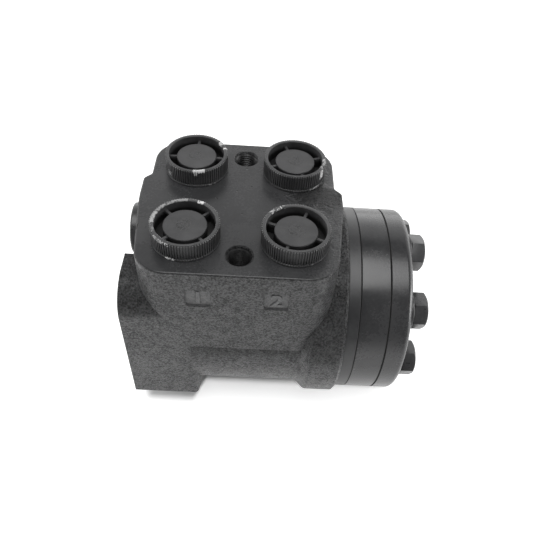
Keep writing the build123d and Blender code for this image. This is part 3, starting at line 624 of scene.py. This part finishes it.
def plug_material(place_name, centre):
    material, tree, shader, place = new_material(f"plug_plastic_{place_name}")
    local = shader_node(tree, "ShaderNodeMapping", None, {
        "Vector": place, "Location": tuple(-c for c in centre)}).outputs[0]
    flow = noise(tree, local, 160.0, 3.0, 0.55, 0.8)
    grain = noise(tree, local, 1500.0, 3.0, 0.6)
    base = blend_colour(tree, ramp(tree, flow, 0.35, 0.65), plastic_dark, plastic_light)
    axes = split(tree, local)
    radius = from_axis(tree, axes)

    # painted shade: the gap between hub and rim darkens with depth
    outside_hub = calc(tree, "GREATER_THAN", radius, plug_hub - 0.06 * mm)
    inside_rim = calc(tree, "LESS_THAN", radius, plug_rim - plug_rim_wall + 0.06 * mm)
    deep_shade = ramp(tree, axes["Z"], plug_height - 4.4 * mm, plug_height - 2.7 * mm, 1.0, 0.0)
    gap = times(tree, times(tree, outside_hub, inside_rim), deep_shade)
    base = blend_colour(tree, gap, base, gap_shade_black)

    # blurred mould mark in the middle of the hub, and rib tops worn by boxing and handling
    mould = noise(tree, local, 560.0, 2.0, 0.5, 2.5)
    inside_mark = ramp(tree, radius, 2.8 * mm, 4.6 * mm, 1.0, 0.0)
    mark = times(tree, ramp(tree, mould, 0.5, 0.6), inside_mark)
    base = blend_colour(tree, times(tree, mark, 0.85), base, mark_black)
    on_ribs = times(tree, ramp(tree, axes["Z"], plug_height - 0.75 * mm, plug_height - 0.4 * mm),
                    calc(tree, "GREATER_THAN", radius, plug_rim - rib_height + 0.06 * mm))
    wear = times(tree, on_ribs, ramp(tree, noise(tree, local, 300.0, 2.0), 0.35, 0.6, 0.15, 0.9))
    base = blend_colour(tree, wear, base, worn_grey)

    # each scuff covers the ones before it
    scuffed = 0.0
    pale = base
    for angle, spread, low, high, amount, tone in plug_scuffs[place_name]:
        mask = use_group(tree, rim_scuff, {
            "Place": local, "Angle": math.radians((angle + 180) % 360 - 180),
            "Spread": math.radians(spread), "Low": low * mm, "High": high * mm,
            "Amount": amount})["Mask"]
        scuffed = largest(tree, mask, scuffed)
        pale = blend_colour(tree, mask, pale, (tone, tone, tone, 1.0))
    tree.links.new(pale, shader.inputs["Base Color"])
    tree.links.new(blend_value(tree, scuffed, plus(tree, 0.36, times(tree, flow, 0.2)), 0.7),
                   shader.inputs["Roughness"])
    height = plus(tree, times(tree, grain, 0.4), times(tree, flow, 0.6))
    height = minus(tree, height, times(tree, scuffed, 0.8))
    height = minus(tree, height, times(tree, mark, 1.2))
    tree.links.new(bump(tree, height, 0.05 * mm), shader.inputs["Normal"])
    return material


def plug_body(name):
    """Turned outline of the whole plug, then the grip ribs pushed out of its rim."""
    rim_inner = plug_rim - plug_rim_wall
    hub_top = plug_height - plug_hub_drop
    rib_root = plug_rim - rib_height
    rib_top = plug_height - 0.3 * mm
    rib_foot = 1.1 * mm
    stem_inner = plug_stem - plug_stem_wall
    profile = [
        (pole, hub_top), (plug_hub - 0.25 * mm, hub_top), (plug_hub, hub_top - 0.25 * mm),
        (plug_hub, plug_web), (rim_inner, plug_web), (rim_inner, plug_height - 0.3 * mm),
        (rim_inner + 0.3 * mm, plug_height), (rib_root - 0.3 * mm, plug_height),
        (rib_root - 0.08 * mm, plug_height - 0.08 * mm), (rib_root, rib_top), (rib_root, rib_foot),
        (plug_rim - 0.05 * mm, 0.85 * mm), (plug_rim - 0.05 * mm, 0.2 * mm),
        (plug_rim - 0.3 * mm, 0.0), (plug_stem, 0.0), (plug_stem_core, -1.2 * mm),
        (plug_stem_core, -plug_stem_length + 0.4 * mm), (plug_stem_core - 0.4 * mm, -plug_stem_length),
        (stem_inner, -plug_stem_length), (stem_inner, hub_top - plug_web), (pole, hub_top - plug_web)]
    body = turned(name, profile, 2 * grip_ribs)
    bpy.ops.object.mode_set(mode="EDIT")
    bpy.ops.mesh.select_mode(type="FACE")
    bpy.ops.mesh.select_all(action="DESELECT")
    edit = bmesh.from_edit_mesh(body.data)
    for face in edit.faces:
        middle = face.calc_center_median()
        radius = math.hypot(middle.x, middle.y)
        on_band = rib_foot < middle.z < rib_top and radius > rib_root - 0.05 * mm
        step = int(math.floor(math.atan2(middle.y, middle.x) / math.pi * grip_ribs))
        if on_band and step % 2 == 0:
            face.select_set(True)
    bmesh.update_edit_mesh(body.data)
    bpy.ops.mesh.extrude_region_shrink_fatten(TRANSFORM_OT_shrink_fatten={"value": rib_height})
    bpy.ops.mesh.select_all(action="SELECT")
    bpy.ops.mesh.normals_make_consistent(inside=False)
    bpy.ops.object.mode_set(mode="OBJECT")
    return body


def plug_spoke(turn):
    """One thin moulded spoke from hub to rim, its top edges softened."""
    rim_inner = plug_rim - plug_rim_wall
    length = rim_inner - plug_hub + 0.8 * mm
    height = plug_height - plug_spoke_drop
    deselect()
    bpy.ops.mesh.primitive_cube_add(size=1.0, location=((rim_inner + plug_hub) / 2, 0, height / 2))
    spoke = bpy.context.object
    spoke.scale = (length, plug_spoke_width, height)
    bpy.ops.object.transform_apply(location=True, rotation=False, scale=True)
    soft = spoke.modifiers.new("edges", "BEVEL")
    soft.width = spoke_softness
    soft.segments = 2
    apply_modifiers(spoke)
    settle(spoke, Matrix.Rotation(turn, 4, "Z"))
    return spoke


thread_steps_per_turn = 48


def screw_thread(name, radius, crest, pitch, z_low, turns):
    """Helical ridge of diamond section: its outer half stands on a stem, its inner half in a bore."""
    deselect()
    bpy.ops.mesh.primitive_circle_add(vertices=4, radius=1.0, location=(radius, 0, 0), fill_type="NOTHING",
                                      rotation=(math.pi / 2, 0, 0))
    ridge = bpy.context.object
    ridge.name = name
    ridge.scale = (crest, pitch * 0.46, 1.0)
    bpy.ops.object.transform_apply(location=True, rotation=True, scale=True)
    helix = ridge.modifiers.new("helix", "SCREW")
    helix.angle = 2 * math.pi * turns
    helix.screw_offset = pitch * turns
    helix.steps = int(thread_steps_per_turn * turns)
    helix.render_steps = int(thread_steps_per_turn * turns)
    helix.use_merge_vertices = False
    apply_modifiers(ridge)
    bpy.ops.object.mode_set(mode="EDIT")
    bpy.ops.mesh.select_mode(type="VERT")
    bpy.ops.mesh.select_all(action="DESELECT")
    bpy.ops.mesh.select_non_manifold()
    bpy.ops.mesh.edge_face_add()
    bpy.ops.mesh.select_all(action="SELECT")
    bpy.ops.mesh.normals_make_consistent(inside=False)
    bpy.ops.object.mode_set(mode="OBJECT")
    settle(ridge, Matrix.Translation((0, 0, z_low)))
    return ridge


for place_name, phase in spoke_phases.items():
    node = f"port_plug_{place_name}"
    low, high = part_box(node)
    centre = Vector(((low.x + high.x) / 2, (low.y + high.y) / 2, port_face_z + plug_lift))
    plug = plug_body(f"transport_plug_{place_name}")
    spokes = [plug_spoke(math.radians(phase + 90 * k)) for k in range(4)]
    thread = screw_thread("stem_thread", plug_stem_core, plug_stem - plug_stem_core, plug_thread_pitch,
                          -plug_stem_length + 1.6 * mm, stem_thread_turns)
    deselect()
    for part in spokes + [thread, plug]:
        part.select_set(True)
    bpy.context.view_layer.objects.active = plug
    bpy.ops.object.join()
    settle(plug, Matrix.Translation(centre))
    smooth(plug, 32)
    plug.data.materials.clear()
    plug.data.materials.append(plug_material(place_name, centre))
    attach(plug, node)
    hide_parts(node)


# ------------------------------------------------------------ tapped holes
# M10 threads: two between the ports for a flanged block, and four in the
# mounting face for the column.  They are cut after casting and painted over.
tap_crest = 0.55 * mm
tap_pitch = 1.25 * mm
tap_turns = 9.6
port_thread_depth = 13.2 * mm
column_thread_depth = 15.5 * mm
column_circle = 41.25 * mm


def thread_material():
    material, tree, shader, place = new_material("cut_thread")
    paint = use_group(tree, sprayed_paint, {
        "Place": place, "Dark": (0.008, 0.008, 0.0082, 1.0), "Light": (0.018, 0.018, 0.0184, 1.0),
        "Pits": 0.6, "Shine": 0.3})
    tree.links.new(paint["Colour"], shader.inputs["Base Color"])
    tree.links.new(paint["Roughness"], shader.inputs["Roughness"])
    tree.links.new(bump(tree, paint["Peel"], 0.05 * mm), shader.inputs["Normal"])
    return material


cut_thread = thread_material()
thread_spots = {}
for row, side in (("front", -1), ("rear", 1)):
    spot = (hole_x, side * hole_y, port_face_z - port_thread_depth)
    thread_spots[f"port_thread_{row}"] = Matrix.Translation(spot)
for k in range(4):
    angle = math.pi / 4 + k * math.pi / 2
    spot = (column_thread_depth, column_circle * math.cos(angle), column_circle * math.sin(angle))
    thread_spots[f"column_thread_{k + 1}"] = Matrix.Translation(spot) @ Matrix.Rotation(-math.pi / 2, 4, "Y")
for name, where in thread_spots.items():
    ridge = screw_thread(name, tap_radius, tap_crest, tap_pitch, 0.0, tap_turns)
    settle(ridge, where)
    smooth(ridge, 40)
    ridge.data.materials.append(cut_thread)
    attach(ridge, "housing")


# ---------------------------------------------------------- port numbers
# Each front port has a shallow square pocket cast under it with a raised plain
# number, so that hoses can be told apart.
number_height = 7.4 * mm
number_rise = 0.55 * mm
pocket_floor_y = -41.2 * mm
for text, x in zip("12", pocket_xs):
    deselect()
    bpy.ops.object.text_add(location=(0, 0, 0))
    number = bpy.context.object
    number.name = f"port_number_{text}"
    number.data.body = text
    number.data.size = number_height * 1.35
    number.data.align_x = "CENTER"
    number.data.align_y = "CENTER"
    number.data.extrude = number_rise / 2
    number.data.bevel_depth = 0.08 * mm
    number.data.offset = 0.2 * mm
    bpy.ops.object.convert(target="MESH")
    settle(number, Matrix.Translation((x, pocket_floor_y - number_rise / 2 + 0.1 * mm, pocket_z))
           @ Matrix.Rotation(math.pi / 2, 4, "X"))
    number.data.materials.clear()
    number.data.materials.append(nodes["housing"].data.materials[0])
    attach(number, "housing")


# ---------------------------------------------------------- seals and valve
# Inside are ground and hardened steel pieces, drawn spring leaves and wire,
# nitrile seals, and a stamped brass needle cage.  They show at the mounting
# face, in the opened ports and wherever the part is cut open.
def steel_material(name, tone, shine, grain_scale):
    material, tree, shader, place = new_material(name)
    grain = noise(tree, place, grain_scale, 4.0, 0.6)
    smear = noise(tree, place, 120.0, 3.0, 0.5)
    dark = tuple(0.8 * c for c in tone) + (1.0,)
    colour = blend_colour(tree, ramp(tree, smear, 0.3, 0.7), dark, tone + (1.0,))
    tree.links.new(colour, shader.inputs["Base Color"])
    shader.inputs["Metallic"].default_value = 1.0
    tree.links.new(ramp(tree, grain, 0.2, 0.8, shine, shine + 0.15), shader.inputs["Roughness"])
    tree.links.new(bump(tree, grain, 0.01 * mm), shader.inputs["Normal"])
    return material


ground_steel = steel_material("ground_steel", (0.52, 0.52, 0.53), 0.22, 900.0)
spring_steel = steel_material("spring_steel", (0.3, 0.31, 0.34), 0.3, 1400.0)
cage_brass = steel_material("cage_brass", (0.62, 0.47, 0.2), 0.3, 700.0)
for piece in ("sleeve", "spool", "cross_pin", "cardan_shaft", "drive_spacer", "gear_rotor",
              "bearing_outer_race", "bearing_needles", "bearing_inner_race", "check_seat",
              "check_ball", "relief_poppet", "relief_seat"):
    coat(piece, ground_steel)
for piece in ("leaf_springs", "spring_ring", "relief_spring"):
    coat(piece, spring_steel)
coat("needle_cage", cage_brass)

# the relief valve's spring shortens from its seat on the plug as the poppet opens; here it only gets an
# object and mesh of its own on the housing, in place of the CAD node
spring_node = nodes["relief_spring"]
spring_mesh = spring_node.data.copy()
spring_mesh.transform(spring_node.matrix_world)
relief_coil = bpy.data.objects.new("relief_coil", spring_mesh)
bpy.context.collection.objects.link(relief_coil)
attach(relief_coil, "housing")
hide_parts("relief_spring")
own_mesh(relief_coil)


rubber_dark = (0.012, 0.012, 0.012, 1.0)
rubber_light = (0.024, 0.024, 0.025, 1.0)


def rubber_material():
    material, tree, shader, place = new_material("seal_rubber")
    bloom = noise(tree, place, 300.0, 4.0, 0.6)
    colour = blend_colour(tree, ramp(tree, bloom, 0.35, 0.7), rubber_dark, rubber_light)
    tree.links.new(colour, shader.inputs["Base Color"])
    tree.links.new(ramp(tree, bloom, 0.3, 0.7, 0.5, 0.68), shader.inputs["Roughness"])
    tree.links.new(bump(tree, bloom, 0.03 * mm), shader.inputs["Normal"])
    return material


seal_rubber = rubber_material()
for piece in ("housing_seal", "plate_seal", "cover_seal", "dust_seal", "shaft_seal"):
    coat(piece, seal_rubber)


# ----------------------------------------------------------- relief plug
# The relief valve is closed by a round-headed plug with a hex socket, sealed by
# a soft washer.
coat("relief_plug", forged_black)
coat("relief_washer", forged_black)


# ------------------------------------------------------- stage and lights
# The unit lies on its flange on a white sweep, under one large soft light from
# behind and above, in a room that is dark on the camera's side.
floor_z = -47.5 * mm
floor_middle_x = 0.06
floor_size = 6.0
floor_white = (0.8, 0.8, 0.8, 1.0)
floor_dim = (0.3, 0.3, 0.3, 1.0)
# in reflections the floor glows behind near_y and is dim in front of far_y, on the camera's side
far_y, near_y = -0.42, -0.14
# painted shadow: the glow that the camera sees fades next to the part's foot, in the floor's own X and Y, so
# the floor's shade shows only there
foot_middle_x = 0.007
foot_half_x = 0.061
flange_half_y, body_half_y = 0.0335, 0.021
body_start_x, flange_end_x = -0.026, -0.034
painted_shadow_width = 0.006
seen_glow, mirrored_glow, glow_strength = 1.1, 0.66, 0.5


def floor_material():
    """White floor, lit up for the camera everywhere but in a painted contact shadow round the part's foot.
    """
    material, tree, shader, place = new_material("white_floor")
    shader.inputs["Roughness"].default_value = 0.9
    shader.inputs["Specular IOR Level"].default_value = 0.0
    path = tree.nodes.new("ShaderNodeLightPath").outputs
    where = split(tree, place)
    far = ramp(tree, where["Y"], far_y, near_y, 1.0, 0.0)
    mirrored = times(tree, path["Is Glossy Ray"], minus(tree, 1.0, far))
    dimmed = times(tree, path["Is Glossy Ray"], far)
    tree.links.new(blend_colour(tree, dimmed, floor_white, floor_dim), shader.inputs["Base Color"])
    half_y = ramp(tree, where["X"], flange_end_x, body_start_x, flange_half_y, body_half_y)
    beside = largest(tree, minus(tree, distance_to(tree, where["X"], foot_middle_x), foot_half_x), 0.0)
    before = largest(tree, minus(tree, calc(tree, "ABSOLUTE", where["Y"]), half_y), 0.0)
    away = calc(tree, "SQRT", plus(tree, times(tree, beside, beside), times(tree, before, before)))
    shown = times(tree, path["Is Camera Ray"], ramp(tree, away, 0.0, painted_shadow_width, 0.0, seen_glow))
    seen = largest(tree, shown, times(tree, mirrored, mirrored_glow))
    shader.inputs["Emission Color"].default_value = (1.0, 1.0, 1.0, 1.0)
    tree.links.new(times(tree, seen, glow_strength), shader.inputs["Emission Strength"])
    return material


deselect()
bpy.ops.mesh.primitive_plane_add(size=floor_size, location=(floor_middle_x, 0.0, floor_z))
floor = bpy.context.object
floor.name = "white_floor"
floor.data.materials.append(floor_material())

back_wall_low, back_wall_high = 2.6, 1.05
left_wall_level, right_wall_level = 2.6, 3.2
wall_share, room_level = 0.9, 0.1


def studio_world():
    """Bright walls behind and beside the part under a dark ceiling; plain white to the camera."""
    world = bpy.data.worlds.new("studio")
    world.use_nodes = True
    tree = world.node_tree
    background = tree.nodes["Background"]
    direction = split(tree, tree.nodes.new("ShaderNodeTexCoord").outputs["Generated"])
    wall_top = ramp(tree, direction["Z"], 0.68, 0.84, 1.0, 0.0)
    horizon = ramp(tree, direction["Z"], 0.0, 0.65, back_wall_low, back_wall_high)
    back_wall = times(tree, ramp(tree, direction["Y"], -0.1, 0.35), horizon)
    left_wall = times(tree, ramp(tree, direction["X"], -0.95, -0.7, 1.0, 0.0), left_wall_level)
    right_wall = times(tree, ramp(tree, direction["X"], 0.7, 0.95), right_wall_level)
    walls = largest(tree, back_wall, largest(tree, left_wall, right_wall))
    room = plus(tree, times(tree, times(tree, walls, wall_top), wall_share), room_level)
    in_view = tree.nodes.new("ShaderNodeLightPath").outputs["Is Camera Ray"]
    tree.links.new(largest(tree, room, in_view), background.inputs["Strength"])
    background.inputs["Color"].default_value = (1.0, 1.0, 1.0, 1.0)
    return world


bpy.context.scene.world = studio_world()


def soft_light(name, place, target, size, watts):
    deselect()
    bpy.ops.object.light_add(type="AREA", location=place)
    lamp = bpy.context.object
    lamp.name = name
    lamp.data.shape = "DISK"
    lamp.data.size = size
    lamp.data.energy = watts
    lamp.visible_camera = False
    lamp.rotation_euler = (Vector(target) - Vector(place)).to_track_quat("-Z", "Y").to_euler()


soft_light("overhead_light", (0.06, -0.15, 0.8), (0.06, 0.0, 0.0), 0.7, 5.9)
soft_light("left_light", (-0.5, -0.12, 0.12), (0.05, 0.0, 0.02), 0.3, 1.6)
soft_light("right_light", (0.65, -0.15, 0.14), (0.05, 0.0, 0.02), 0.3, 1.3)

# The camera stands above and in front of the unit and looks down at the block.
camera_place = Vector((55.05, -180.05, 218.69)) * mm
camera_pitch = math.radians(48.264)
camera_yaw = math.radians(-2.666)
camera_roll = math.radians(4.88)
sensor_width = 36.0
focal_share = 554.96 / 540.0
forward = Vector((-math.sin(camera_yaw) * math.cos(camera_pitch),
                  math.cos(camera_yaw) * math.cos(camera_pitch), -math.sin(camera_pitch)))
level = Vector((math.cos(camera_yaw), math.sin(camera_yaw), 0.0))
upright = level.cross(forward)
right = math.cos(camera_roll) * level + math.sin(camera_roll) * upright
up = -math.sin(camera_roll) * level + math.cos(camera_roll) * upright
bpy.ops.object.camera_add()
camera = bpy.context.object
camera.name = "camera"
camera.matrix_world = Matrix.Translation(camera_place) @ Matrix((right, up, -forward)).transposed().to_4x4()
camera.data.sensor_width = sensor_width
camera.data.sensor_fit = "HORIZONTAL"
camera.data.lens = focal_share * sensor_width
camera.data.clip_start = 0.005
bpy.context.scene.camera = camera
bpy.context.scene.view_settings.view_transform = "Standard"
